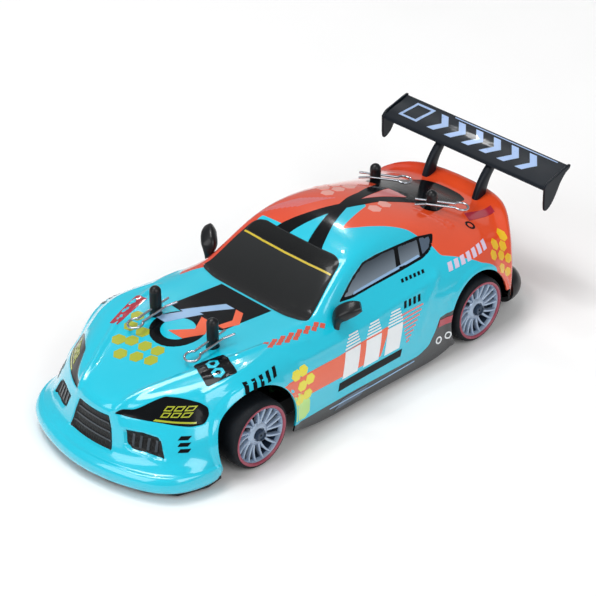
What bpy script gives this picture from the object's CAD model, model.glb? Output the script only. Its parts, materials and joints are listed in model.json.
"""Visual model of a remote control race car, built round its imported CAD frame.

Sizes are in millimetres in the part's frame, with +Z up and the front of the car towards -Y; meshes are in metres.
The shell is one smooth skin with relief. Windows, lamps and painted shapes are thin films that lie on it.
"""

import json
import math

import bmesh
import bpy
import numpy as np
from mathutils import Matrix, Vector, geometry
from mathutils.bvhtree import BVHTree
from mathutils.interpolate import poly_3d_calc


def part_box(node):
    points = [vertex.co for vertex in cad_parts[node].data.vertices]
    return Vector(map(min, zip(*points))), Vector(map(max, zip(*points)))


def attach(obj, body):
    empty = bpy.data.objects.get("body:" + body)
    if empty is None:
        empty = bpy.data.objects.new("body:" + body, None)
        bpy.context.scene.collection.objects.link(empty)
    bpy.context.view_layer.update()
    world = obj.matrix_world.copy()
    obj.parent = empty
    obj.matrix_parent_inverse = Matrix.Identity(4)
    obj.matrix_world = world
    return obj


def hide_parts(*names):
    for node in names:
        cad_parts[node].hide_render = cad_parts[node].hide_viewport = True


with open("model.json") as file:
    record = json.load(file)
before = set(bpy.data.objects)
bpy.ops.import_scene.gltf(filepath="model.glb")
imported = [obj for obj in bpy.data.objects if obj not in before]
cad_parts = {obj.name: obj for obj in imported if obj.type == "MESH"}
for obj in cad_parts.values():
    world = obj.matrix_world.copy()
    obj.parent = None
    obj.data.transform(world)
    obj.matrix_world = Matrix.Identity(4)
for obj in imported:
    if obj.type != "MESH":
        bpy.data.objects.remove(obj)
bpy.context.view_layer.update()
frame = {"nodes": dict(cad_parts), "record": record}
NODES = frame["nodes"]
MM = 0.001

# ---- camera ----

AIM_AZIMUTH = 45.13
AIM_ELEVATION = 32.22
AIM_FROM = (668.8, -662.7, 627.0)
LENS = 135
SENSOR_WIDTH = 36


def put(name, data):
    """Adds an object with this data to the scene."""
    made = bpy.data.objects.new(name, data)
    bpy.context.scene.collection.objects.link(made)
    return made


def add_camera():
    data = bpy.data.cameras.new("camera")
    data.lens = LENS
    data.sensor_width = SENSOR_WIDTH
    camera = put("camera", data)
    camera.location = Vector(AIM_FROM) * MM
    camera.rotation_euler = (math.radians(90 - AIM_ELEVATION), 0, math.radians(AIM_AZIMUTH))
    bpy.context.scene.camera = camera


add_camera()

# ---- places taken from the frame ----


def centre_mm(node):
    low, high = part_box(node)
    return (low + high) / 2 / MM


FRONT_AXLE = centre_mm("front_left_tyre")
REAR_AXLE = centre_mm("rear_left_tyre")
FACE_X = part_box("front_left_tyre")[1].x / MM
TYRE_W = FACE_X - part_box("front_left_tyre")[0].x / MM
TYRE_R = FRONT_AXLE.z
RIM_R = 15.1
FRONT_ARCH_R = 24.5
REAR_ARCH_R = 21.5
FRONT_POST = centre_mm("body_post_front_left")
REAR_POST = centre_mm("body_post_rear_left")
POST_HOLE_R = 3.3
WING_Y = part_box("wing_blade")[0].y / MM
WING_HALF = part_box("wing_end_plate_left")[1].x / MM
PLATE_T = 1.4
HANDS = (("left", 1), ("right", -1))
SEGMENTS = 96

# ---- materials ----


def rgb(code):
    """Linear colour of a six-digit sRGB code."""
    parts = [int(code[i:i + 2], 16) / 255 for i in (0, 2, 4)]
    return tuple(p / 12.92 if p <= 0.04045 else ((p + 0.055) / 1.055) ** 2.4 for p in parts) + (1,)


def shaded(colour, factor):
    return tuple(min(1, c * factor) for c in colour[:3]) + (1,)


COAT_ROUGHNESS = 0.04
EDGE_MM = 0.12


class Finish:
    """A principled material whose colour, roughness and surface come from noise in object coordinates."""

    def __init__(self, name, colour, rough, metallic=0.0, coat=0.0, variation=0.1, patch=90, grain=2600,
                 bump=0.1, depth=0.00003, specular=0.5):
        self.material = bpy.data.materials.new(name)
        self.material.use_nodes = True
        self.tree = self.material.node_tree
        self.bsdf = self.tree.nodes["Principled BSDF"]
        self.bsdf.inputs["Metallic"].default_value = metallic
        self.bsdf.inputs["Coat Weight"].default_value = coat
        self.bsdf.inputs["Coat Roughness"].default_value = COAT_ROUGHNESS
        self.bsdf.inputs["Specular IOR Level"].default_value = specular
        self.where = self.node("ShaderNodeTexCoord").outputs["Object"]
        clouds = self.noise(patch, 3)
        self.colour(self.mix(clouds, shaded(colour, 1 - variation), shaded(colour, 1 + variation)))
        wear = self.remap(self.noise(patch * 4, 5), 0.3, 0.7, rough * 0.85, min(1, rough * 1.2))
        self.link(wear, self.bsdf.inputs["Roughness"])
        self.bump(self.noise(grain, 2), bump, depth)

    def node(self, kind, **inputs):
        made = self.tree.nodes.new(kind)
        for name, value in inputs.items():
            made.inputs[name].default_value = value
        return made

    def link(self, a, b):
        self.tree.links.new(a, b)

    def noise(self, scale, detail):
        made = self.node("ShaderNodeTexNoise", Scale=scale, Detail=detail)
        self.link(self.where, made.inputs["Vector"])
        return made.outputs["Fac"]

    def mix(self, factor, a, b):
        """Colour between a and b, each a colour or a socket."""
        made = self.node("ShaderNodeMix")
        made.data_type = "RGBA"
        self.link(factor, made.inputs["Factor"])
        for socket, value in ((made.inputs[6], a), (made.inputs[7], b)):
            if isinstance(value, tuple):
                socket.default_value = value
            else:
                self.link(value, socket)
        return made.outputs[2]

    def remap(self, value, low, high, to_low, to_high):
        made = self.node("ShaderNodeMapRange", **{"From Min": low, "From Max": high, "To Min": to_low,
                                                  "To Max": to_high})
        self.link(value, made.inputs["Value"])
        return made.outputs["Result"]

    def colour(self, socket):
        self.paint = socket
        self.link(socket, self.bsdf.inputs["Base Color"])

    def over(self, factor, colour):
        """Paints colour over what is there, by factor."""
        self.colour(self.mix(factor, self.paint, colour))

    def bump(self, height, strength, depth):
        made = self.node("ShaderNodeBump", Strength=strength, Distance=depth)
        self.link(height, made.inputs["Height"])
        self.link(made.outputs["Normal"], self.bsdf.inputs["Normal"])

    def split(self):
        """The X, Y and Z of the surface point, in metres."""
        made = self.node("ShaderNodeSeparateXYZ")
        self.link(self.where, made.inputs["Vector"])
        return made.outputs

    def wave(self, scale, direction):
        made = self.node("ShaderNodeTexWave", Scale=scale)
        made.bands_direction = direction
        self.link(self.where, made.inputs["Vector"])
        return made.outputs["Fac"]

    def cells(self, scale):
        made = self.node("ShaderNodeTexVoronoi", Scale=scale)
        made.feature = "DISTANCE_TO_EDGE"
        self.link(self.where, made.inputs["Vector"])
        return made.outputs["Distance"]


TURQUOISE = rgb("04C2DC")
ORANGE = rgb("DE4A20")
RED_ORANGE = rgb("CC3A22")


def shell_paint():
    """Glossy shell: turquoise, with orange and black where the mesh's own distance attributes are positive."""
    made = Finish("shell_paint", TURQUOISE, 0.2, coat=1.0, variation=0.03, patch=30, grain=700, bump=0.04,
                  depth=0.00005)
    blend = made.remap(made.noise(25, 2), 0.35, 0.65, 0, 1)
    orange = made.mix(blend, ORANGE, shaded(ORANGE, 1.08))
    far = made.remap(made.split()["X"], -0.05, 0.0, 1, 0)
    orange = made.mix(far, orange, RED_ORANGE)
    for attribute, colour in (("orange_mm", orange), ("sill_mm", rgb("0A0F15"))):
        zone = made.node("ShaderNodeAttribute")
        zone.attribute_name = attribute
        made.over(made.remap(zone.outputs["Fac"], -EDGE_MM, EDGE_MM, 0, 1), colour)
    return made.material


def plain(name, code, rough, **looks):
    return Finish(name, rgb(code), rough, **looks).material


def flat_paint(name, code, rough=0.22, coat=1.0):
    return plain(name, code, rough, coat=coat, variation=0.06, patch=60, grain=900, bump=0.03)


def pane(name, dark, light, low, high, axis="Z"):
    """Printed glass that grows lighter along an axis, from low to high in metres."""
    made = Finish(name, rgb(dark), 0.14, coat=0.3, variation=0.12, patch=25, grain=500, bump=0.02, specular=0.2)
    made.over(made.remap(made.split()[axis], low, high, 0, 1), rgb(light))
    return made.material


def mesh_black():
    """Black honeycomb of a printed grille."""
    made = Finish("grille_mesh", rgb("16181B"), 0.4, coat=0.2, variation=0.2, specular=0.25)
    holes = made.cells(520)
    made.over(made.remap(holes, 0.03, 0.07, 0, 1), rgb("050506"))
    made.bump(made.remap(holes, 0.0, 0.12, 1, 0), 0.6, 0.0002)
    return made.material


def wrapped(name, code, stripe, scale, axis):
    """Plastic with a printed stripe that repeats along an axis."""
    made = Finish(name, rgb(code), 0.35, coat=0.4)
    made.over(made.remap(made.wave(scale, axis), 0.55, 0.62, 0, 0.8), rgb(stripe))
    return made.material


def board():
    """Green circuit board with pale tracks."""
    made = Finish("board_green", rgb("14552F"), 0.4, coat=0.5)
    made.over(made.remap(made.cells(260), 0.03, 0.05, 1, 0), rgb("2F8A55"))
    return made.material


def metal(name, code, rough, grain=3000):
    return plain(name, code, rough, metallic=1.0, variation=0.08, patch=400, grain=grain, bump=0.15)


PAINTS = {
    "white": "E8EDF0", "orange": "E8582A", "pink": "D87878", "red": "A82438", "brick": "D2523E",
    "lilac": "D8C8E0", "rose": "E89C90", "spring_green": "B4E27C", "yellow": "E8DC10", "amber": "E8B810",
    "lime": "A8B020", "slate": "46586C", "turquoise": "04C2DC",
}
M = {
    "shell": shell_paint(),
    "lining": plain("shell_lining", "141518", 0.6, variation=0.2),
    "black": plain("gloss_black", "070A0E", 0.16, coat=0.08, variation=0.15, patch=60, grain=900, bump=0.03,
                   specular=0.16),
    "satin": plain("satin_black", "0C0F13", 0.36, coat=0.15, variation=0.15, grain=3200, bump=0.15,
                   specular=0.3),
    "navy": plain("wing_navy", "0A131D", 0.34, coat=0.05, variation=0.08, patch=20, grain=2400, bump=0.06,
                  specular=0.22),
    "plastic": plain("chassis_plastic", "16171A", 0.55, variation=0.2, grain=2800, bump=0.3, specular=0.3),
    "nylon": plain("gear_nylon", "DCD8CA", 0.42, variation=0.05, grain=2400, bump=0.15),
    "horn": plain("white_plastic", "E4E4E0", 0.4, variation=0.04, grain=2000, bump=0.12),
    "pale": flat_paint("pale_blue_paint", "8FB4DA"),
    "wing_blue": flat_paint("wing_blue_paint", "A4BEE6", 0.3, 0.4),
    "slat": flat_paint("slat_grey", "343B42", 0.3, 0.3),
    "gold": flat_paint("gold_paint", "C8B02C", 0.3, 0.3),
    "screen": pane("screen_glass", "1C1D1E", "2A2C2D", -0.03, 0.0, "Y"),
    "visor": pane("screen_visor", "101112", "191B1C", -0.004, 0.004, "Y"),
    "side_glass": pane("side_glass", "7F8C99", "3C4650", 0.053, 0.063),
    "mesh": mesh_black(),
    "lamp": flat_paint("lamp_red", "8E1420", 0.15),
    "rim": plain("rim_silver", "A6B8CE", 0.36, metallic=0.55, coat=0.2, variation=0.06, patch=300, grain=3000,
                 bump=0.1),
    "crimson": plain("crimson_ring", "98384E", 0.35, coat=0.3),
    "rim_dark": plain("rim_shadow", "26364C", 0.5, metallic=0.3, variation=0.1, patch=300),
    "cap": plain("hub_cap", "34465C", 0.35, metallic=0.4, coat=0.3),
    "rubber": plain("tyre_rubber", "0E1319", 0.6, variation=0.25, patch=220, grain=5200, bump=0.3, depth=0.00006,
                    specular=0.25),
    "steel": metal("pin_steel", "B9BDC4", 0.22),
    "spring": metal("spring_steel", "A8ADB5", 0.28),
    "screw": metal("screw_steel", "7E828A", 0.35),
    "can": metal("motor_can", "A9ADB3", 0.3, 1200),
    "battery": wrapped("battery_wrap", "2E4A8A", "C8D4E8", 45, "Y"),
    "board": board(),
    "servo": wrapped("servo_blue", "1E2F66", "C8CCD8", 60, "Z"),
}
M.update({key: flat_paint(f"{key}_paint", code) for key, code in PAINTS.items()})

# The CAD nodes that have each finish, by the start of their names
FINISHED = {
    "plastic": ("chassis_tub", "front_lower_arms", "front_upper_arms", "rear_tower", "battery_cover",
                "switch_housing", "knuckle", "tie_bar", "pod_case"),
    "satin": ("front_undertray", "body_post"),
    "battery": ("battery_pack",),
    "board": ("receiver_board",),
    "servo": ("steering_servo",),
    "steel": ("pod_hinge_pin", "body_clip", "kingpin", "rear_axle", "motor_pinion"),
    "screw": ("chassis_screws",),
    "spring": ("kingpin_spring", "pod_springs"),
    "horn": ("servo_horn", "switch_slider"),
    "can": ("drive_motor",),
    "nylon": ("axle_gear", "compound_gear"),
}
NODE_FINISH = {start: finish for finish, starts in FINISHED.items() for start in starts}


def finish_nodes():
    for name, node in NODES.items():
        start = max((start for start in NODE_FINISH if name.startswith(start)), key=len, default=None)
        if not start:
            continue
        finish = M[NODE_FINISH[start]]
        if not node.material_slots:
            node.data.materials.append(finish)
        for slot in node.material_slots:
            slot.material = finish


finish_nodes()

# ---- pieces ----

BODY_OF = {node: body for body, nodes in frame["record"]["behaviour"]["bodies"].items() for node in nodes}
CHASSIS = BODY_OF["chassis_tub"]


def add_piece(name, points, faces, finishes, body=CHASSIS, stands_for=(), slot=None, sharp=35):
    """Makes a mesh piece from points in millimetres, smooth apart from edges sharper than an angle."""
    mesh = bpy.data.meshes.new(name)
    mesh.from_pydata([tuple(float(c) * MM for c in p) for p in points], [], faces)
    mesh.validate()
    mesh.update()
    for finish in finishes:
        mesh.materials.append(M[finish])
    mesh.shade_smooth()
    mesh.set_sharp_from_angle(angle=math.radians(sharp))
    piece = put(name, mesh)
    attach(piece, body)
    if stands_for:
        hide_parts(*stands_for)
    return piece


# ---- outlines ----


def mirrored(points):
    return [(-a, b) for a, b in reversed(points)]


def symmetric(half):
    """Closed outline from one half that starts and ends on the centre line."""
    return list(half) + [(-a, b) for a, b in reversed(half) if abs(a) > 0.01]


def rounded(points, radius, steps=4):
    """Closed outline with its corners rounded."""
    made = []
    count = len(points)
    for i in range(count):
        here = Vector(points[i])
        back = Vector(points[i - 1]) - here
        ahead = Vector(points[(i + 1) % count]) - here
        cut = min(radius, back.length * 0.45, ahead.length * 0.45)
        start = here + back.normalized() * cut
        end = here + ahead.normalized() * cut
        for k in range(steps + 1):
            t = k / steps
            made.append(tuple(start * (1 - t) ** 2 + here * 2 * t * (1 - t) + end * t * t))
    return made


def arc(centre, radius, start, end, steps=12):
    """Points on a circle between two angles in degrees."""
    angles = [math.radians(start + (end - start) * k / steps) for k in range(steps + 1)]
    return [(centre[0] + radius * math.cos(angle), centre[1] + radius * math.sin(angle)) for angle in angles]


def circle(centre, radius, steps=28):
    return arc(centre, radius, 0, 360 - 360 / steps, steps - 1)


def hexagon(centre, radius, turn=0):
    return arc(centre, radius, turn, turn + 300, 5)


def slanted(low, high, width, lean, centre):
    """Parallelogram from low to high whose top is shifted by lean."""
    a = centre - width / 2
    b = centre + width / 2
    return [(a, low), (b, low), (b + lean, high), (a + lean, high)]


def stripe(points, width):
    """Outline of a line of even width through points."""
    near, far = [], []
    for i, point in enumerate(points):
        ahead = Vector(points[min(i + 1, len(points) - 1)]) - Vector(points[max(i - 1, 0)])
        side = Vector((-ahead.y, ahead.x)).normalized() * width / 2
        near.append(tuple(Vector(point) + side))
        far.append(tuple(Vector(point) - side))
    return near + far[::-1]


def turned(points, centre, degrees):
    c, s = math.cos(math.radians(degrees)), math.sin(math.radians(degrees))
    return [(centre[0] + (a - centre[0]) * c - (b - centre[1]) * s,
             centre[1] + (a - centre[0]) * s + (b - centre[1]) * c) for a, b in points]


def resampled(points, step):
    made = []
    for i, point in enumerate(points):
        a, b = Vector(point), Vector(points[(i + 1) % len(points)])
        pieces = max(1, math.ceil((b - a).length / step))
        made += [tuple(a.lerp(b, k / pieces)) for k in range(pieces)]
    return made


def edge_distance(points, line, closed=True):
    """Distance from each 2D point to a line of segments."""
    a = np.array(line, float)
    b = np.roll(a, -1, axis=0)
    if not closed:
        a, b = a[:-1], b[:-1]
    ab = b - a
    p = points[..., None, :]
    t = np.clip(((p - a) * ab).sum(-1) / np.maximum((ab ** 2).sum(-1), 1e-12), 0, 1)
    return np.linalg.norm(p - a - t[..., None] * ab, axis=-1).min(-1)


def inside(points, outline):
    a = np.array(outline, float)
    b = np.roll(a, -1, axis=0)
    x, y = points[..., 0, None], points[..., 1, None]
    rise = np.where(b[:, 1] == a[:, 1], 1e-12, b[:, 1] - a[:, 1])
    crosses = ((a[:, 1] > y) != (b[:, 1] > y)) & (x < (b[:, 0] - a[:, 0]) * (y - a[:, 1]) / rise + a[:, 0])
    return crosses.sum(-1) % 2 == 1


def signed_distance(points, outline):
    """Distance to a closed outline, positive inside it."""
    near = edge_distance(points, outline)
    return np.where(inside(points, outline), near, -near)


def ease(value, low, high):
    t = np.clip((value - low) / (high - low), 0, 1)
    return t * t * (3 - 2 * t)

# ---- shell surface ----

# Rows of control points from the front to the tail, each from the centre line out to the sill, as the CAD shell has
SHELL_NET = [
    # underside of the front lip
    [[0, -136, 4], [16, -134.5, 4], [33, -129, 4], [46, -120.5, 4], [51.5, -109, 4.5], [53, -104, 5],
     [53, -101.5, 5.5]],
    # lower front edge of the lip
    [[0, -143, 4], [17, -141, 4], [36, -135.5, 4], [50, -126.5, 4], [54.5, -112, 4.5], [55, -105, 5.5],
     [54, -101.5, 6.5]],
    # upper front edge of the lip
    [[0, -143.5, 11.5], [17, -141.5, 11.5], [37, -136, 11.5], [51, -127, 11.5], [55.5, -112, 12],
     [55.5, -105, 10.5], [54.5, -101, 9]],
    # foot of the front face
    [[0, -135, 14.8], [15, -134, 14.8], [33, -128.5, 15], [45, -119, 15.5], [51.5, -108, 17],
     [54, -102.5, 15], [54.5, -100.5, 12]],
    # grille
    [[0, -133, 24], [13, -132.5, 24], [30, -127, 24], [42, -117.5, 24.5], [49.5, -107, 25],
     [53.5, -101, 20], [54.5, -100, 14]],
    # head of the grille and foot of the headlights
    [[0, -131.5, 32.5], [11, -131, 32.5], [25, -124.5, 32], [39, -113, 31.5], [47.5, -104, 30],
     [53, -99.5, 24.5], [54.5, -99, 16]],
    # front edge of the bonnet and head of the headlights
    [[0, -130.5, 38], [9, -130.5, 38], [24, -117, 43], [36, -106, 42.5], [44.5, -98.5, 37.5],
     [51.5, -96, 30], [54.5, -96, 18]],
    # front wings ahead of the axle
    [[0, -110, 42.5], [13, -110, 43], [26, -101, 46], [38, -95, 46], [47, -92, 42.5], [53.5, -91, 35],
     [55, -91, 18]],
    # front axle
    [[0, -80, 47.5], [20, -80, 48.5], [31, -78, 49.5], [43, -78, 51], [51.5, -78, 47.5], [56, -78, 39],
     [55.5, -78, 18]],
    # behind the front wheels
    [[0, -50, 49], [24, -50, 49.5], [34, -50, 49.5], [43, -50, 48.5], [50.5, -50, 43], [54.5, -50, 30],
     [54.5, -50, 4]],
    # foot of the windscreen
    [[0, -28, 48], [33, -28, 48], [38, -25, 49], [43.5, -23, 45.5], [50, -20, 40.5], [54, -20, 27],
     [55, -20, 3.5]],
    # lower windscreen
    [[0, -22.5, 51], [32, -22.5, 50.5], [38, -19.5, 52], [43, -16, 46.5], [50, -14, 40.5], [54, -14, 26],
     [55, -14, 3.5]],
    # head of the windscreen
    [[0, 5.5, 71.5], [27, 5.5, 71], [35, 6, 69], [38.5, 6, 52.5], [49, 6, 43], [54, 6, 28],
     [55.5, 6, 3.5]],
    # crown of the roof
    [[0, 34, 74], [25, 34, 72.5], [34, 34, 69], [39, 34, 54], [50, 34, 45], [54.5, 34, 29],
     [56, 34, 3]],
    # rear pillars
    [[0, 58, 70.5], [23, 58, 68.5], [33, 58, 63.5], [42, 58, 53.5], [51.5, 56, 46], [56, 56, 32],
     [56.5, 54, 3]],
    # rear axle
    [[0, 80, 62.5], [22, 80, 61.5], [33, 80, 57], [43, 80, 52], [51, 80, 46.5], [56.5, 80, 37],
     [56, 80, 18]],
    # boot lid
    [[0, 101, 55], [22, 101, 55], [33, 100, 52.5], [41.5, 99, 49.5], [48.5, 97, 44], [54.5, 96, 33],
     [55.5, 97, 20]],
    # hollow of the boot lid
    [[0, 116, 49], [20, 115.5, 49], [31.5, 113, 49.5], [40.5, 108.5, 48.5], [48, 104, 44], [54, 101, 33],
     [56, 99.5, 20]],
    # raised tail edge
    [[0, 129.5, 56], [20, 128, 56], [32.5, 123, 55.5], [41.5, 115, 52.5], [49, 108, 45.5],
     [54.5, 103.5, 32], [56, 101, 20]],
    # tail face
    [[0, 130, 44], [20, 128.5, 44], [34, 123, 43], [43.5, 115, 40], [50.5, 108.5, 36], [54.5, 104.5, 27],
     [55.5, 102, 18]],
    # foot of the tail
    [[0, 127, 12], [20, 126, 12], [34, 121, 12], [43.5, 113.5, 12], [50, 108, 12],
     [53.5, 104.5, 12], [55, 102.5, 12]]
]
ROW_STEPS = 14
COL_STEPS = 12
SHELL_T = 1.0
SHELL_SHARP = 42


def padded_net():
    """The whole net: mirrored across the centre line and reflected past its open edges."""
    left = np.array(SHELL_NET, float)
    full = np.concatenate([left[:, :0:-1] * (-1, 1, 1), left], axis=1)
    for axis in (0, 1):
        first = np.take(full, [0], axis) * 2 - np.take(full, [1], axis)
        last = np.take(full, [-1], axis) * 2 - np.take(full, [-2], axis)
        full = np.concatenate([first, full, last], axis=axis)
    return full


def spline_weights(count, steps):
    """Cell and cubic B-spline weights of every sample along a side with that many control points."""
    at = np.arange((count - 1) * steps + 1) / steps
    cell = np.minimum(at.astype(int), count - 2)
    t = at - cell
    weights = [(1 - t) ** 3, 3 * t ** 3 - 6 * t ** 2 + 4, -3 * t ** 3 + 3 * t ** 2 + 3 * t + 1, t ** 3]
    return cell, np.stack(weights, axis=1) / 6


def shell_grid():
    net = padded_net()
    rows, row_weights = spline_weights(net.shape[0] - 2, ROW_STEPS)
    cols, col_weights = spline_weights(net.shape[1] - 2, COL_STEPS)
    along = sum(net[rows + i] * row_weights[:, i, None, None] for i in range(4))
    return sum(along[:, cols + j] * col_weights[None, :, j, None] for j in range(4))


def grid_normals(points):
    along = np.gradient(points, axis=0)
    over = np.gradient(points, axis=1)
    normals = np.cross(over, along)
    return normals / np.linalg.norm(normals, axis=2, keepdims=True)


# ---- outlines on the shell, in plan (x, y), from the side (y, z) or from the front (x, z) ----

SCREEN = symmetric([(0, -31.1), (24.5, -31.1), (33.5, -29.2), (36.7, -27), (29.6, 2.4), (24.5, 4.6), (13, 3.7),
                    (0, 3.4)])
VISOR = symmetric([(0, -4.6), (16, -4.3), (30.1, -3.4), (28.7, 2.2), (24.2, 4), (13, 3.2), (0, 2.9)])
SIDE_WINDOW = [(-8.6, 52.4), (4.1, 60.4), (12.3, 64.2), (21.8, 64.6), (36.6, 63.6), (51.3, 62.2), (63.2, 59.4),
               (56.2, 55), (49, 53.6), (32.9, 52.9), (15, 52.3), (-0.1, 51.7)]
FRONT_PANE = [(-4.6, 53.4), (4.8, 59.4), (12.8, 63.1), (22, 63.6), (34.2, 62.7), (31.4, 53.9), (15, 53.3),
              (0.2, 52.8)]
REAR_PANE = [(37, 62.5), (50.8, 61.1), (48, 54.7), (34.6, 54.1)]
TIP_PANE = [(52.6, 60.9), (60.4, 59.1), (55.6, 56), (50, 54.9)]
LIGHT_STRIP = [(1, 52.7), (15, 53.2), (31.2, 53.8), (48, 54.6), (47.4, 55.6), (31.4, 54.9), (15, 54.3), (2, 53.7)]
ROOF_CROSS = symmetric([(0, 24.3), (6.5, 3.2), (15.9, 3.2), (8.3, 19.4), (2.6, 34.7), (5.2, 43), (6.7, 52.6),
                        (9.6, 60.8), (14, 75), (7, 75.5), (3.1, 62), (0, 47.5)])
REAR_TRIANGLE = [(0, 48.4), (2.5, 62), (6.3, 74.8), (-6.3, 74.8), (-2.5, 62)]
HATCH_GLASS = symmetric([(0, 114), (9, 113.4), (15.4, 110.4), (17.4, 98), (23.6, 78), (20.6, 72.4), (13.5, 74),
                         (0, 74.6)])
HEADLIGHT = [(13, 34.2), (15, 36.2), (20, 36.8), (22, 37.9), (25, 40.3), (28, 42.2), (33, 42), (37, 41.2),
             (41, 39.9), (44, 38), (45.6, 35), (46, 31.6), (42.6, 31), (37.2, 31.7), (33, 32.4), (28.2, 32.9),
             (18.3, 33.6)]
GRILLE = symmetric([(0, 31.8), (10.3, 32), (12.5, 25.9), (14, 19), (14.8, 15.9), (0, 15.7)])
INTAKE = [(19.2, 28), (27.5, 28.1), (33.9, 26.8), (35.7, 24.9), (39.3, 17.8), (36, 18.1), (30.2, 19.4),
          (24.3, 19.7), (21.4, 21.2)]
BONNET_CREASE = [(13, -128), (17, -116), (23, -103), (30, -88), (35, -73), (37.5, -56)]
BELT_CREASE = [(-47, 42.3), (-39.9, 40.4), (-17.9, 39.5), (3.3, 40.5), (25.3, 42.7), (38.6, 43.9), (51, 46)]
HAUNCH_CREASE = [(51.9, 47.2), (43.3, 39.5), (32.2, 20.5)]
WING_CREASE = [(40.5, -98), (43.5, -88), (44.5, -76), (42.5, -64), (40.5, -56), (43.5, -47), (44.8, -36)]
LIP_TOP = 12.6
LIP_STEP = 0.9
ARCH_FLARE = 0.7
HAUNCH_PANEL = [(45.7, 36.8), (61.7, 36.8), (60.6, 33.7), (49.1, 33.6)]
SILL = [(-60, 10.7), (-40, 10.7), (-11, 10.8), (31, 10.2), (34.5, 11), (39.6, 13), (44.4, 19.2), (47.9, 25.4),
        (60, 27), (60, -5), (-60, -5)]
SILL_X = 48
TAIL_LAMP = [(14, 45.5), (34, 46.5), (42, 45), (41, 41.5), (30, 41), (14, 41.5)]
ORANGE_LEFT = [(14, 18.9), (18.6, 25), (23.5, 33.5), (27.7, 41.4), (31.1, 48.3), (34.2, 52), (38, 57.5),
               (43.9, 59.6), (46.4, 66.1), (49.3, 72.9), (52.3, 81.4), (53.6, 88.1), (54.4, 91), (80, 93),
               (80, 160), (-0.5, 160), (-0.5, 46), (7.1, 44.2)]
ORANGE_RIGHT = [(-38.5, -41.5), (-37, -34), (-34, -27.6), (-28, 6), (-12, 6), (-2, 34.7), (-4, 46), (0.5, 46),
                (0.5, 160), (-80, 160), (-80, 93), (-54.4, 91), (-52.3, 81.4), (-49.3, 72.9), (-46.4, 64),
                (-44, 40), (-43, 0), (-43, -26), (-41.5, -36)]


def arch_rise(side, axle, radius):
    """How far a flare stands out round a wheel arch, from 0 to 1."""
    gap = np.hypot(side[..., 0] - axle.y, side[..., 1] - axle.z) - radius
    return 1 - ease(gap, 2.0, 3.2)


def relief(points, normals):
    """Height of the pressed-in and raised detail over the plain surface, in millimetres."""
    plan = np.abs(points[..., [0, 1]] * (1, 0)) + points[..., [0, 1]] * (0, 1)
    side = points[..., [1, 2]]
    front = np.stack([np.abs(points[..., 0]), points[..., 2]], axis=-1)
    facing_up = ease(normals[..., 2], 0.2, 0.5)
    facing_side = ease(np.abs(normals[..., 0]), 0.3, 0.6)
    facing_front = ease(-normals[..., 1], 0.15, 0.4)
    facing_back = ease(normals[..., 1], 0.2, 0.5)
    high = ease(points[..., 2], 50, 51.5)
    height = np.zeros(points.shape[:2])
    for line, flat, tall, width, where in (
            (BONNET_CREASE, plan, 0.9, 1.3, facing_up), (WING_CREASE, plan, 0.5, 1.3, facing_up),
            (BELT_CREASE, side, 0.5, 1.5, facing_side), (HAUNCH_CREASE, side, 0.45, 1.5, facing_side)):
        height += tall * np.exp(-(edge_distance(flat, line, closed=False) / width) ** 2) * where
    for outline, flat, tall, low, top, where in (
            (HAUNCH_PANEL, side, 0.4, -0.4, 0.6, facing_side),
            (SIDE_WINDOW, side, -0.45, -0.6, 0.6, facing_side * high), (SCREEN, plan, -0.35, -0.6, 0.6, 1),
            (GRILLE, front, -1.4, -0.5, 0.9, facing_front), (INTAKE, front, -1.6, -0.5, 0.9, facing_front),
            (HEADLIGHT, front, -0.5, -0.5, 0.9, facing_front), (TAIL_LAMP, front, -0.5, -0.4, 0.8, facing_back)):
        height += tall * ease(signed_distance(flat, outline), low, top) * where
    lip = (1 - ease(points[..., 2], LIP_TOP - 0.5, LIP_TOP + 0.5)) * (1 - ease(points[..., 1], -104, -101))
    height += LIP_STEP * lip * ease(points[..., 2], 3.5, 5)
    outer = ease(np.abs(points[..., 0]), 44, 50)
    for axle, radius in ((FRONT_AXLE, FRONT_ARCH_R), (REAR_AXLE, REAR_ARCH_R)):
        height += ARCH_FLARE * arch_rise(side, axle, radius) * outer
    return height


PLAIN = shell_grid()
PLAIN_NORMALS = grid_normals(PLAIN)
SKIN = PLAIN + PLAIN_NORMALS * relief(PLAIN, PLAIN_NORMALS)[..., None]
SKIN_NORMALS = grid_normals(SKIN)


def grid_faces(rows, cols, first=0, flip=False, wrap_rows=False, wrap_cols=False):
    """Four-sided faces of a grid of points, which may close on itself either way."""
    made = []
    for i in range(rows if wrap_rows else rows - 1):
        a, b = first + i * cols, first + (i + 1) % rows * cols
        for j in range(cols if wrap_cols else cols - 1):
            k = (j + 1) % cols
            quad = (a + j, a + k, b + k, b + j)
            made.append(quad[::-1] if flip else quad)
    return made


class Target:
    """A surface that films are laid on."""

    def __init__(self, points, faces, normals):
        self.points = [Vector(p) for p in points]
        self.faces = faces
        self.normals = [Vector(n) for n in normals]
        self.tree = BVHTree.FromPolygons(self.points, faces)

    def hit(self, start, direction):
        """Point and smooth normal where a ray meets the surface, or None."""
        point, _, face, _ = self.tree.ray_cast(Vector(start), Vector(direction))
        if point is None:
            return None
        corners = self.faces[face]
        weights = poly_3d_calc([self.points[c] for c in corners], point)
        normal = sum((self.normals[c] * w for c, w in zip(corners, weights)), Vector())
        return point, normal.normalized()


SHELL = Target(SKIN.reshape(-1, 3), grid_faces(*SKIN.shape[:2]), SKIN_NORMALS.reshape(-1, 3))


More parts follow.
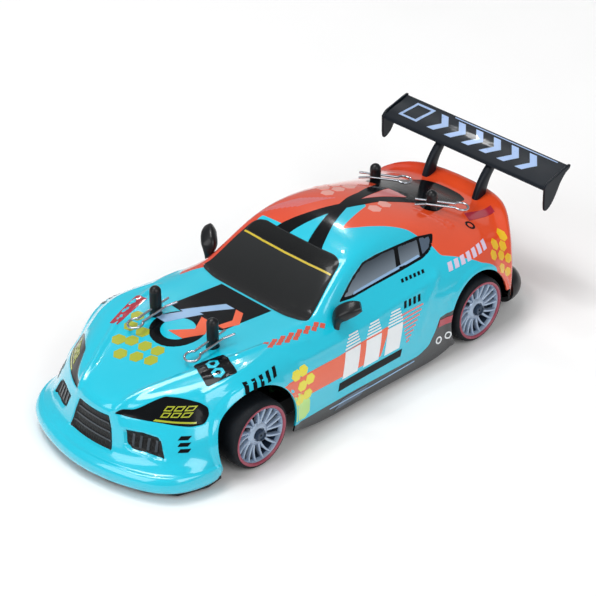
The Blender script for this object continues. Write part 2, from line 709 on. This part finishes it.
def cutter(name, cylinders):
    """A mesh of closed cylinders, each given as centre, radius, half length and axis."""
    shape = bmesh.new()
    for centre, radius, half, axis in cylinders:
        turn = Vector((0, 0, 1)).rotation_difference(Vector(axis)).to_matrix().to_4x4()
        made = bmesh.ops.create_cone(shape, cap_ends=True, segments=SEGMENTS, radius1=radius * MM,
                                     radius2=radius * MM, depth=2 * half * MM, matrix=turn)
        bmesh.ops.translate(shape, verts=made["verts"], vec=Vector(centre) * MM)
    mesh = bpy.data.meshes.new(name)
    shape.to_mesh(mesh)
    shape.free()
    return put(name, mesh)


def cut(piece, tool):
    """Takes the tool's shape out of the piece, then deletes the tool."""
    hole = piece.modifiers.new("cut", "BOOLEAN")
    hole.operation = "DIFFERENCE"
    hole.solver = "MANIFOLD"
    hole.object = tool
    graph = bpy.context.evaluated_depsgraph_get()
    made = bpy.data.meshes.new_from_object(piece.evaluated_get(graph))
    piece.modifiers.remove(hole)
    piece.data = made
    bpy.data.objects.remove(tool)


def mark_zones(mesh):
    """Stores each point's distance into the orange part of the livery, in plan, and into the black sill."""
    count = len(mesh.vertices)
    points = np.zeros(count * 3, np.float32)
    mesh.vertices.foreach_get("co", points)
    points = points.reshape(-1, 3).astype(float) / MM
    plan, side = points[:, :2], points[:, 1:]
    depth = np.maximum(signed_distance(plan, ORANGE_LEFT), signed_distance(plan, ORANGE_RIGHT))
    sill = np.where(np.abs(points[:, 0]) > SILL_X, signed_distance(side, SILL), -1)
    for name, values in (("orange_mm", depth), ("sill_mm", sill)):
        attribute = mesh.attributes.new(name, "FLOAT", "POINT")
        attribute.data.foreach_set("value", values.astype(np.float32))


# Half lengths of the tools that cut the arches and the post holes, and the height of the latter's middle
ARCH_TOOL = 90
POST_TOOL = 23
POST_TOOL_Z = 66.5


def add_shell():
    rows, cols = SKIN.shape[:2]
    size = rows * cols
    inner = SKIN - SKIN_NORMALS * SHELL_T
    points = np.concatenate([SKIN.reshape(-1, 3), inner.reshape(-1, 3)])
    faces = grid_faces(rows, cols) + grid_faces(rows, cols, size, flip=True)
    edge = list(range(cols)) + [i * cols + cols - 1 for i in range(1, rows)]
    edge += [(rows - 1) * cols + j for j in range(cols - 2, -1, -1)] + [i * cols for i in range(rows - 2, 0, -1)]
    for a, b in zip(edge, edge[1:] + edge[:1]):
        faces.append((b, a, a + size, b + size))
    shell = add_piece("shell", points, faces, ("shell", "lining"), stands_for=("body_shell",),
                      slot="turquoise_shell")
    for index, polygon in enumerate(shell.data.polygons):
        polygon.material_index = 0 if index < (rows - 1) * (cols - 1) else 1
    cut(shell, cutter("arches", [((0, axle.y, axle.z), radius, ARCH_TOOL, (1, 0, 0)) for axle, radius in
                                 ((FRONT_AXLE, FRONT_ARCH_R), (REAR_AXLE, REAR_ARCH_R))]))
    cut(shell, cutter("post_holes", [((x, post.y, POST_TOOL_Z), POST_HOLE_R, POST_TOOL, (0, 0, 1))
                                     for post in (FRONT_POST, REAR_POST) for x in (-post.x, post.x)]))
    mark_zones(shell.data)
    shell.data.shade_smooth()
    shell.data.set_sharp_from_angle(angle=math.radians(SHELL_SHARP))


add_shell()

# ---- films ----

DOWN = ("plan", (0, 0, 1))
LEFT = ("side", (1, 0, 0))
RIGHT = ("side", (-1, 0, 0))
AHEAD = ("face", (0, -1, 0))
BEHIND = ("face", (0, 1, 0))
FAR_OUT = 400
LIFT = 0.14
SUNK = 0.3
STEP = 2.2
FILM_SHARP = 60


def triangles(loops, step):
    """Points and triangles that fill outlines, with even-odd holes, at about the given spacing."""
    rims = [resampled(loop, step) for loop in loops]
    points = [p for rim in rims for p in rim]
    low = np.min(points, axis=0)
    high = np.max(points, axis=0)
    count = np.maximum(np.ceil((high - low) / step).astype(int), 1)
    a, b = np.meshgrid(np.linspace(low[0], high[0], count[0] + 1), np.linspace(low[1], high[1], count[1] + 1))
    grid = np.stack([a.ravel(), b.ravel()], axis=1)
    solid = np.sum([inside(grid, rim) for rim in rims], axis=0) % 2 == 1
    clear = np.min([edge_distance(grid, rim) for rim in rims], axis=0) > step * 0.45
    points += [tuple(p) for p in grid[solid & clear]]
    edges, first = [], 0
    for rim in rims:
        edges += [(first + i, first + (i + 1) % len(rim)) for i in range(len(rim))]
        first += len(rim)
    made = geometry.delaunay_2d_cdt([Vector(p) for p in points], edges, [], 0, 1e-5)
    flat, faces = [tuple(v) for v in made[0]], [tuple(f) for f in made[2]]
    p, q, r = np.moveaxis(np.array(flat)[faces], 1, 0)
    area = (q - p)[:, 0] * (r - p)[:, 1] - (q - p)[:, 1] * (r - p)[:, 0]
    kept = np.sum([inside((p + q + r) / 3, rim) for rim in rims], axis=0) % 2 == 1
    return flat, [face if up else face[::-1] for face, up, keep in zip(faces, area > 0, kept) if keep]


FILMS = []


class Films:
    """Thin closed films of one finish, gathered into one piece."""

    def __init__(self, name, finish, slot=None):
        self.name, self.finish, self.slot = name, finish, slot
        self.points, self.faces, self.smooth = [], [], []
        FILMS.append(self)

    def lay(self, outline, view, lift=LIFT, step=STEP, holes=(), target=None):
        """Lays an outline on the target, looking along the view, with its underside sunk in the surface."""
        kind, out = view
        target = target or SHELL
        flat, faces = triangles([outline, *holes], step)
        direction = -Vector(out)
        hits = []
        for a, b in flat:
            start = {"plan": (a, b, FAR_OUT), "side": (out[0] * FAR_OUT, a, b),
                     "face": (a, out[1] * FAR_OUT, b)}[kind]
            hits.append(target.hit(start, direction))
        faces = [face for face in faces if all(hits[c] for c in face)]
        if view in (RIGHT, BEHIND):
            faces = [face[::-1] for face in faces]
        used = sorted({c for face in faces for c in face})
        index = {c: i for i, c in enumerate(used)}
        first, count = len(self.points), len(used)
        for height, way in ((lift, 1), (-SUNK, -1)):
            for point, normal in (hits[c] for c in used):
                self.points.append(point + normal * height)
                self.smooth.append(normal * way)
        borders = {}
        for face in faces:
            top = [first + index[c] for c in face]
            self.faces.append((tuple(top), True))
            self.faces.append((tuple(c + count for c in reversed(top)), True))
            borders.update(dict.fromkeys(zip(top, top[1:] + top[:1])))
        for a, b in borders:
            if (b, a) not in borders:
                self.faces.append(((b, a, a + count, b + count), False))

    def both(self, outline, lift=LIFT, step=STEP, holes=()):
        """Lays an outline on both sides of the car."""
        for view in (LEFT, RIGHT):
            self.lay(outline, view, lift, step, holes)

    def pair(self, outline, view, lift=LIFT, step=STEP):
        """Lays an outline and its mirror image."""
        self.lay(outline, view, lift, step)
        self.lay(mirrored(outline), view, lift, step)

    def make(self):
        mesh = add_piece(self.name, self.points, [face for face, smooth in self.faces], (self.finish,),
                         slot=self.slot, sharp=FILM_SHARP).data
        if len(mesh.polygons) == len(self.faces):
            normals = []
            for polygon, (face, smooth) in zip(mesh.polygons, self.faces):
                for corner in polygon.vertices:
                    normals.append(self.smooth[corner] if smooth else polygon.normal.copy())
            mesh.normals_split_custom_set(normals)


def add_windows():
    """Glass, with its black frames, and the black parts of the roof and lamps."""
    black = Films("window_frames", "black", "gloss_black")
    black.both(rounded(SIDE_WINDOW, 1.6), 0.05)
    black.lay(ROOF_CROSS, DOWN, 0.1)
    black.lay(rounded(HATCH_GLASS, 3), DOWN, 0.1)
    black.pair(rounded(HEADLIGHT, 1.2), AHEAD, 0.12, 1.6)

    screen = Films("windscreen", "screen", "gloss_black")
    screen.lay(rounded(SCREEN, 3), DOWN, 0.12)
    visor = Films("windscreen_visor", "visor", "gloss_black")
    visor.lay(rounded(VISOR, 2.5), DOWN, 0.2)

    panes = Films("side_panes", "side_glass", "gloss_black")
    for outline in (FRONT_PANE, REAR_PANE):
        panes.both(rounded(outline, 1.0))


def add_pale_marks():
    """Grey, pale blue and lilac shapes."""
    slate = Films("slate_marks", "slate")
    slate.both(rounded(TIP_PANE, 0.8))
    slate.both([(-27, 5.6), (-21, 9.6), (-3, 9.9), (-9, 6.4)], 0.2)

    pale = Films("pale_marks", "pale")
    pale.both(LIGHT_STRIP, 0.2, 1.5)
    pale.both(stripe([(-30, 8.2), (0, 8), (29, 8.6)], 0.6), 0.24, 1.5)
    for outline in ([(-19, -75), (-12, -75), (-3, -58), (-9, -58)],
                    [(-14, -63), (-9, -63), (4, -44), (-2, -44)]):
        pale.lay(outline, DOWN, 0.2)

    lilac = Films("quarter_bars", "lilac")
    for k in range(7):
        lilac.both(slanted(45.2, 48.6, 2.9, 1.5, 60.5 + 4.6 * k), step=1.5)


def add_grilles():
    """Grille and intakes, with their slats."""
    mesh = Films("grille_mesh", "mesh", "black_plastic")
    mesh.lay(rounded(GRILLE, 1.2), AHEAD, 0.1, 1.6)
    mesh.pair(rounded(INTAKE, 1.0), AHEAD, 0.1, 1.6)

    slats = Films("grille_slats", "slat")
    for k in range(3):
        z = 19.4 + 4 * k
        half = 13.4 - 1.3 * k
        slats.lay([(-half, z), (half, z), (half - 0.2, z + 0.7), (-half + 0.2, z + 0.7)], AHEAD, 0.5, 1.6)
    for k in range(4):
        slats.pair(slanted(20.8 - 0.3 * k, 26.6 - 0.5 * k, 1.1, -0.9, 24 + 3.4 * k), AHEAD, 0.4, 1.6)


def add_side_marks():
    """White, orange, green and yellow shapes, most of them on the sides."""
    white = Films("white_marks", "white")
    for k in range(3):
        white.both(slanted(20.8, 33.2, 10.4, 4.4, -15.6 + 14.6 * k), 0.24, 1.8)
        for row in range(5):
            z = 34 + 1.35 * row
            shift = 4.6 + 0.48 * row
            white.both(slanted(z, z + 0.7, 10.4 - 1.1 * row, 0.3, -15.6 + 14.6 * k + shift), 0.24, 1.8)
    for centre in ((46.6, 13), (53, 13.4)):
        white.both(circle(centre, 2.1), 0.24, 1.2, holes=[circle(centre, 1.3)])

    orange = Films("orange_marks", "orange")
    front_rim = arc((FRONT_AXLE.y, FRONT_AXLE.z), FRONT_ARCH_R + 0.4, 45.2, 11.5, 10)
    orange.both([(14.3, 34.6), (-5, 33.8), (-20.6, 33.2), (-41, 34.2), *front_rim, (-42, 22.9), (-23, 22.2),
                 (6, 21.6)], 0.1)
    orange.lay([(-6, -78), (4, -78), (10, -69), (4, -60), (-2, -60), (3, -69)], DOWN, 0.2)
    orange.lay([(9, -60), (13, -60), (16, -52), (10, -44), (5, -44), (11, -52)], DOWN, 0.2)

    foot = Films("arch_foot", "spring_green")
    foot.both([*arc((FRONT_AXLE.y, FRONT_AXLE.z), FRONT_ARCH_R + 0.4, 26, -12, 8), (-47, 11.6), (-43.6, 14),
               (-43, 20), (-45.6, 25.6)], 0.1)
    yellow = Films("yellow_marks", "yellow")
    for y, z in ((-45.4, 36.7), (-50.4, 36.4), (-42, 31), (-47.6, 29.8), (-44.6, 24), (-50, 23.4)):
        flat = [(a, z + (b - z) * 0.85) for a, b in hexagon((y, z), 3.3)]
        yellow.both(flat, 0.2, 1.8)

    gold = Films("windscreen_line", "gold")
    gold.lay(stripe([(-30, -4.4), (-16, -5.2), (0, -5.5), (16, -5.2), (30, -4.4)], 0.9), DOWN, 0.26)

    amber = Films("amber_marks", "amber")
    for centre in ((104.5, 45.5), (96.6, 44.2), (101.5, 41.8), (92.4, 41), (98, 38.6), (102.4, 35.6), (96, 33),
                   (100, 29.4)):
        amber.both(hexagon(centre, 2.5, 20), step=1.8)


def add_top_marks():
    """Hexagons, lamp squares, red bars and the row of diamonds."""
    lime = Films("lime_marks", "lime")
    for centre in ((-21.8, -87.8), (-14.2, -87), (-13.6, -94.4), (-5.8, -93), (-11, -104), (-3.4, -100.6),
                   (4.2, -98.2), (1.6, -91.6), (-25, -80.6), (-19, -98)):
        lime.lay(hexagon(centre, 3.7, 15), DOWN)
    for row in range(2):
        for column in range(3):
            x, z = 32 + 3.4 * column, 34.5 + 2.4 * row
            outer = slanted(z, z + 1.9, 2.7, 0.4, x)
            hole = slanted(z + 0.42, z + 1.48, 1.8, 0.22, x + 0.1)
            lime.lay(outer, AHEAD, 0.3, 1.2, holes=[hole])
            lime.lay(mirrored(outer), AHEAD, 0.3, 1.2, holes=[mirrored(hole)])
    lime.pair([(29, 33), (36, 32.4), (43.4, 31.9), (43.2, 32.6), (36, 33.1), (29.4, 33.7)], AHEAD, 0.3, 1.4)

    red = Films("red_marks", "red")
    red.lay([(-31.1, -93), (-26.9, -92.1), (-32, -68.2), (-37.2, -70.5)], DOWN)
    red.lay([(27.6, 95), (33.4, 92.8), (33.2, 113), (28, 115.6)], DOWN)
    red.both(slanted(20.4, 24, 8.4, 1.2, 50.6), 0.24, 1.4)

    brick = Films("diamond_row", "brick")
    for column in range(14):
        for row in range(3 if column < 7 else 2):
            if (column + row) % 2:
                continue
            x, y = 37 + 0.28 * column + 1.5 * row, -55 + 2.5 * column
            brick.lay([(x - 1.35, y), (x, y - 2), (x + 1.35, y), (x, y + 2)], DOWN, step=1.4)


def add_dark_marks():
    """Black bars, the bonnet panel with its ring, and the plate with two rings."""
    dark = Films("dark_marks", "black", "gloss_black")
    dark.both([(-23.8, 15.2), (19.4, 15.6), (20.8, 19.3), (-22.6, 19.2)], 0.2)
    dark.lay([(-17.2, -32.6), (17.6, -32.6), (14.2, -61), (8, -64), (-20.8, -63.4), (-19, -50)], DOWN, 0.12)
    ring = (-3.4, -74)
    dark.lay(circle(ring, 14), DOWN, 0.12, holes=[circle(ring, 8.6)])
    for k in range(5):
        dark.both(slanted(41.6, 45.4, 2.2, 1.6, -82 + 4.6 * k), step=1.5)
    for k in range(3):
        dark.pair(slanted(21 + 2.6 * k, 22.6 + 2.6 * k, 3.2, 0.4, 44.4 - 0.9 * k), AHEAD, step=1.2)
    for k in range(4):
        dark.both(slanted(38.8, 42, 1.6, 1.1, 26.5 + 3.1 * k), step=1.4)
    for k in range(6):
        dark.both(slanted(48.9, 50.3, 1.5, 0.5, 31 + 2.7 * k), step=1.2)
    dark.lay(circle((36, 90.5), 2.6), DOWN, step=1.2, holes=[circle((36, 90.5), 1.5)])
    plate = turned(rounded([(26.4, -92.8), (42.2, -92.8), (42.2, -77), (26.4, -77)], 1.6), (34, -85), -19)
    dark.lay(plate, DOWN, 0.26, 0.9)

    blue = Films("turquoise_marks", "turquoise", "turquoise_shell")
    blue.lay([(-6, 3.6), (6, 3.6), (0, 22.8)], DOWN, 0.12)
    for x, y in ((31.3, -84.1), (37.6, -86.3)):
        blue.lay(hexagon((x, y), 3.3, -19), DOWN, 0.4, 0.8, holes=[hexagon((x, y), 1.5, -19)])


def add_roof_marks():
    """Pale red stripes and hexagons of the roof, and the tail lamps."""
    pink = Films("pink_marks", "pink")
    pink.lay(REAR_TRIANGLE, DOWN, 0.12)
    for k in range(9):
        pink.lay(stripe([(-32.5 + 1.9 * k, 5.5 + 1.7 * k), (-21 + 1.5 * k, 27 + 1.4 * k)], 0.5), DOWN, step=1.8)
    for k in range(8):
        pink.both(stripe([(24 - 0.2 * k, 21.6 + 2.1 * k), (26 + 1.7 * k, 22.2 + 2.1 * k)], 0.8), step=1.6)

    rose = Films("roof_hexagons", "rose")
    for x, y in ((-16, 40), (-22.8, 43.8), (-16, 47.8), (-22.8, 51.8), (-29, 47.6), (-16, 55.6), (11.4, 45.6),
                 (10.2, 54)):
        rose.lay(hexagon((x, y), 3.7), DOWN, step=1.8)

    lamp = Films("tail_lamps", "lamp")
    lamp.pair(rounded(TAIL_LAMP, 1.2), BEHIND, step=1.8)


add_windows()
add_pale_marks()
add_grilles()
add_side_marks()
add_top_marks()
add_dark_marks()
add_roof_marks()
for film in FILMS:
    film.make()

# ---- turned and swept shapes ----


def lathe(profile, axle, side, segments=SEGMENTS, closed=True):
    """Points and faces of a profile of (distance out of the wheel's face, radius) turned round its axle."""
    points = []
    count = len(profile)
    for i in range(segments):
        angle = 2 * math.pi * i / segments
        for out, radius in profile:
            points.append((side * (FACE_X + out), axle.y + radius * math.cos(angle),
                           axle.z + radius * math.sin(angle)))
    faces = grid_faces(segments, count, flip=side < 0, wrap_rows=True, wrap_cols=closed)
    if not closed:
        for j, flip in ((0, False), (count - 1, True)):
            ring = [i * count + j for i in range(segments)]
            faces.append(tuple(ring if flip != (side > 0) else ring[::-1]))
    return points, faces


def sweep(rings):
    """Closed surface through rings of equal size, with flat ends."""
    size = len(rings[0])
    points = [p for ring in rings for p in ring]
    faces = grid_faces(len(rings), size, wrap_cols=True)
    faces.append(tuple(range(size))[::-1])
    faces.append(tuple((len(rings) - 1) * size + j for j in range(size)))
    return points, faces


def join(*shapes):
    points, faces = [], []
    for shape_points, shape_faces in shapes:
        first = len(points)
        points += shape_points
        faces += [tuple(c + first for c in face) for face in shape_faces]
    return points, faces


def bent(points, steps):
    """Catmull-Rom curve through points."""
    made = []
    ends = [points[0]] + list(points) + [points[-1]]
    for i in range(len(points) - 1):
        a, b, c, d = (Vector(ends[i + k]) for k in range(4))
        for k in range(steps):
            t = k / steps
            made.append(tuple(0.5 * (2 * b + (c - a) * t + (2 * a - 5 * b + 4 * c - d) * t * t
                                     + (3 * b - a - 3 * c + d) * t ** 3)))
    return made + [tuple(points[-1])]


# ---- wheels ----

SPOKE_PAIRS = 9
SPOKE_HALF = 0.8
SWIRL = 7
HUB_R = 5.2
BARREL_R = 13.2
DEEP = 2.2
HUB_SEGMENTS = 48


def spoke(axle, side, middle, lean):
    """One spoke of a pair: the two leave the hub as one broad root and spread towards the rim."""
    rings = []
    steps = 9
    for k in range(steps + 1):
        t = k / steps
        radius = HUB_R + (BARREL_R + 0.5 - HUB_R) * t
        turn = math.radians(middle + lean * (4.6 + 5.6 * t ** 0.8) + SWIRL * t * t)
        out = FACE_X - 2.6 + 1.7 * t ** 1.6
        half = SPOKE_HALF - 0.2 * t
        ring = []
        for across, sunk in ((half, 2.4), (half, 0.4), (half - 0.3, 0), (-half + 0.3, 0), (-half, 0.4),
                             (-half, 2.4)):
            y = radius * math.cos(turn) - across * math.sin(turn)
            z = radius * math.sin(turn) + across * math.cos(turn)
            ring.append((side * (out - sunk), axle.y + y, axle.z + z))
        rings.append(ring if side < 0 else ring[::-1])
    return sweep(rings)


# Profiles turned round the axle: distance out of the wheel's face, then radius
BARREL = ((0.2 - TYRE_W, RIM_R), (-1.0, RIM_R), (-0.5, RIM_R - 0.3), (-0.6, RIM_R - 0.9), (-1.2, RIM_R - 1.3),
          (-2.6, BARREL_R), (0.7 - TYRE_W, BARREL_R - 0.1), (0.2 - TYRE_W, BARREL_R + 0.5))
HUB = ((-7.6, 3.8), (-4.6, 5.6), (-3.2, 6.2), (-2.6, 5.8), (-1.9, 4.2), (-1.8, 3.5), (-2.6, 3.2))
TYRE = ((-TYRE_W, RIM_R), (-TYRE_W, 16.1), (0.5 - TYRE_W, 16.9), (1.6 - TYRE_W, 17.4), (3.6 - TYRE_W, TYRE_R),
        (-3.8, TYRE_R), (-1.9, 17.42), (-0.7, 16.95), (-0.15, 16.3), (0, 15.9), (-0.1, 15.6), (-0.4, RIM_R))
RING = ((-0.8, RIM_R + 0.6), (0, RIM_R + 0.55), (0.25, RIM_R + 0.1), (0.05, RIM_R - 0.5), (-0.3, RIM_R - 0.9),
        (-0.9, RIM_R - 1))
CAP = ((-2.8, 2.9), (-0.5, 2.9), (0.2, 2.6), (0.4, 2.1), (-0.4, 1.8), (-0.6, 0.6))
BARREL_FACES = SEGMENTS * len(BARREL)


def rim_shape(axle, side):
    turns = [360 * k / SPOKE_PAIRS for k in range(SPOKE_PAIRS)]
    spokes = [spoke(axle, side, turn, lean) for turn in turns for lean in (-1, 1)]
    return join(lathe(BARREL, axle, side), lathe(HUB, axle, side, HUB_SEGMENTS, closed=False), *spokes)


def add_wheels():
    for end, axle in (("front", FRONT_AXLE), ("rear", REAR_AXLE)):
        for hand, side in HANDS:
            rim, tyre = f"{end}_{hand}_rim", f"{end}_{hand}_tyre"
            body = BODY_OF[tyre]
            wheel = add_piece(f"rim_{end}_{hand}", *rim_shape(axle, side), ("rim", "rim_dark"), body, (rim,),
                              "rim_silver", 40)
            for polygon in wheel.data.polygons:
                deep = abs(polygon.center.x) / MM < FACE_X - DEEP
                polygon.material_index = int(polygon.index < BARREL_FACES and deep)
            add_piece(f"tyre_{end}_{hand}", *lathe(TYRE, axle, side), ("rubber",), body, (tyre,), "tyre_rubber", 50)
            add_piece(f"ring_{end}_{hand}", *lathe(RING, axle, side), ("crimson",), body, sharp=50)
            nut = f"front_{hand}_nut" if end == "front" else "rear_axle_nuts"
            cap = lathe(CAP, axle, side, HUB_SEGMENTS, closed=False)
            add_piece(f"cap_{end}_{hand}", *cap, ("cap",), body, (nut,), sharp=40)


add_wheels()

# ---- wing ----

SQUARE = 0.55
STANCHION_X = 17.5
STANCHION_HALF = 2.1


def squared(steps):
    """Pairs of cosine and sine round a circle, pushed out towards the corners of its square."""
    turns = [2 * math.pi * k / steps for k in range(steps)]
    return [tuple(math.copysign(abs(part) ** SQUARE, part) for part in (math.cos(turn), math.sin(turn)))
            for turn in turns]


def slab(outline, x0, x1, edge):
    """Flat part in a (y, z) outline from x0 to x1, with its edges taken off all round."""
    count = len(outline)
    inner = []
    for i in range(count):
        back, here, ahead = (Vector(outline[(i + k) % count]) for k in (-1, 0, 1))
        along = (ahead - back).normalized()
        inner.append(tuple(here + Vector((-along.y, along.x)) * edge))
    rings = [[(x0, *p) for p in inner], [(x0 + edge, *p) for p in outline], [(x1 - edge, *p) for p in outline],
             [(x1, *p) for p in inner]]
    return sweep(rings)


def add_wing():
    top = bent([(0.2, 68.3), (1.2, 69.9), (4.5, 71.5), (9, 72.8), (14, 73.9), (18.6, 75.3), (19.3, 75.6)], 4)
    under = bent([(19.5, 74.9), (18.6, 74.2), (14, 72.3), (9, 70.6), (4, 68.8), (1, 67.9)], 4)
    blade = [(WING_Y + y, z) for y, z in (top + under)[::-1]]
    half = WING_HALF - PLATE_T
    skin = add_piece("wing_blade_skin", *slab(blade, -half, half, 0.15), ("navy",), stands_for=("wing_blade",),
                     slot="gloss_black").data
    plate = bent([(0.2, 69.4), (3, 72), (8, 73.4), (19.2, 76.3), (19.6, 74.2), (16.5, 72.4), (13, 68.6),
                  (9.5, 62.5), (6.4, 58.2), (3, 56.1), (1, 56.6), (0.4, 60)], 3)
    plate = [(WING_Y + y, z) for y, z in plate[::-1]]
    for hand, x0, x1 in (("left", half, WING_HALF), ("right", -WING_HALF, -half)):
        add_piece(f"wing_plate_{hand}", *slab(plate, x0, x1, 0.3), ("navy",), sharp=30,
                  stands_for=(f"wing_end_plate_{hand}",), slot="gloss_black")
    front = bent([(-9.5, 47.8), (-8, 53), (-5, 59.4), (-0.8, 64.8), (3.6, 68.4)], 5)
    rear = bent([(-0.6, 48.6), (0.4, 55), (3, 61), (7, 66), (11.8, 71.2)], 5)
    for hand, side in HANDS:
        rings = []
        for a, b in zip(front, rear):
            middle, reach = (Vector(a) + Vector(b)) / 2, (Vector(b) - Vector(a)) / 2
            ring = []
            for c, s in squared(20):
                at = middle + reach * c
                ring.append((side * (STANCHION_X + STANCHION_HALF * s), WING_Y + at.x, at.y))
            rings.append(ring if side < 0 else ring[::-1])
        add_piece(f"stanchion_{hand}", *sweep(rings), ("navy",), stands_for=(f"wing_stanchion_{hand}",),
                  slot="gloss_black", sharp=50)
    target = Target([v.co / MM for v in skin.vertices], [tuple(p.vertices) for p in skin.polygons],
                    [v.normal for v in skin.vertices])
    marks = Films("wing_marks", "wing_blue")
    for k in range(6):
        x = 38 - 12.2 * k
        marks.lay([(x - 5.4, 127.6), (x - 0.6, 127.6), (x + 4.6, 133.6), (x - 0.6, 139.6), (x - 5.4, 139.6),
                   (x - 0.2, 133.6)], DOWN, 0.1, 2, target=target)
    frame_outline = [(-36, 127.8), (-49, 127.8), (-46, 140), (-33, 140)]
    frame_hole = [(-37.8, 129), (-47, 129), (-44.8, 138.8), (-35, 138.8)]
    marks.lay(frame_outline[::-1], DOWN, 0.1, 2, holes=[frame_hole], target=target)
    marks.lay([(-20, 140.8), (50, 140.8), (50, 141.3), (-20, 141.3)], DOWN, 0.1, 2, target=target)
    marks.make()


add_wing()

# ---- mirrors and bumper ----


def add_mirrors():
    path = bent([(44.6, -15.6, 43.4), (44.8, -15.6, 46), (45, -15.2, 48.6), (46, -14, 51.2),
                 (48.6, -11.8, 53.6), (51, -9.6, 55), (53.2, -7.6, 56)], 3)
    widths = bent([(1.9, 1.6), (2.1, 1.7), (2.9, 2.3), (3.9, 3.1), (3.9, 3.1), (3.5, 2.8), (2.4, 1.7)], 3)
    for hand, side in HANDS:
        rings = []
        for i, (at, (tall, wide)) in enumerate(zip(path, widths)):
            along = (Vector(path[min(i + 1, len(path) - 1)]) - Vector(path[max(i - 1, 0)])).normalized()
            across = along.cross(Vector((0.5, 0.85, -0.1))).normalized()
            up = across.cross(along)
            ring = []
            for c, s in squared(24):
                p = Vector(at) + across * tall * c + up * wide * s
                ring.append((side * p.x, p.y, p.z))
            rings.append(ring[::-1] if side < 0 else ring)
        add_piece(f"mirror_{hand}_shell", *sweep(rings), ("satin",), stands_for=(f"mirror_{hand}",),
                  slot="gloss_black", sharp=60)


add_mirrors()


def add_bumper():
    """Black bumper: a round roll that wraps the foot of the tail."""
    reach, tall, middle_z, wall = 13, 10.66, 13, 2.5
    side_x, side_y, tail_y = 40, 109, 117
    tilt, steps, past = 78, 14, 6
    bend = tail_y - side_y
    turn_at = math.degrees(math.atan2(side_x, bend))
    path = [((side_x, side_y), a) for a in np.linspace(-past, turn_at, 12)]
    path += [((side_x * (1 - t), side_y + bend * t), turn_at) for t in np.linspace(0.1, 0.9, 9)]
    path += [((0, tail_y), a) for a in np.linspace(turn_at, 180 - turn_at, 5)]
    path += [((-side_x * t, tail_y - bend * t), 180 - turn_at) for t in np.linspace(0.1, 0.9, 9)]
    path += [((-side_x, side_y), a) for a in np.linspace(180 - turn_at, 180 + past, 12)]
    rings = []
    for (x, y), angle in path:
        out = Vector((math.cos(math.radians(angle)), math.sin(math.radians(angle))))
        ring = []
        for thick, way in ((0, 1), (wall, -1)):
            for k in range(steps + 1):
                lift = math.radians(way * tilt * (1 - 2 * k / steps))
                spread = (reach - thick) * math.cos(lift)
                ring.append((x + out.x * spread, y + out.y * spread, middle_z + (tall - thick) * math.sin(lift)))
        rings.append(ring)
    add_piece("bumper", *sweep(rings), ("satin",), stands_for=("rear_diffuser",), slot="black_plastic", sharp=50)


add_bumper()

# ---- floor and light ----


FLOOR_SIZE = 8
SKY_STRENGTH = 0.36

# Name, place in metres, width in metres and power in watts of each square light
LIGHTS = (
    ("left", (1.9, -0.5, 1.5), 1.4, 19), ("front", (-0.3, -2.0, 1.4), 1.4, 16),
    ("top", (-0.5, -0.4, 2.2), 1.0, 21), ("spot_a", (-0.9, 0.8, 1.2), 0.05, 1.2),
    ("spot_b", (-0.7, 0.3, 1.5), 0.05, 1.2), ("spot_c", (-0.4, -0.2, 1.6), 0.05, 1.2),
)


def add_stage():
    bpy.ops.mesh.primitive_plane_add(size=FLOOR_SIZE)
    floor = bpy.context.object
    floor.name = "floor"
    floor.data.materials.append(plain("floor", "F8F8F8", 0.7, variation=0.01, patch=4, grain=60))
    world = bpy.data.worlds.new("studio")
    world.use_nodes = True
    sky = world.node_tree.nodes["Background"]
    sky.inputs["Color"].default_value = (1, 1, 1, 1)
    sky.inputs["Strength"].default_value = SKY_STRENGTH
    bpy.context.scene.world = world
    for name, place, size, power in LIGHTS:
        data = bpy.data.lights.new(name, "AREA")
        data.size = size
        data.energy = power
        light = put(name, data)
        light.location = place
        light.rotation_euler = (-Vector(place)).to_track_quat("-Z", "Y").to_euler()
    bpy.context.scene.view_settings.view_transform = "Standard"


add_stage()
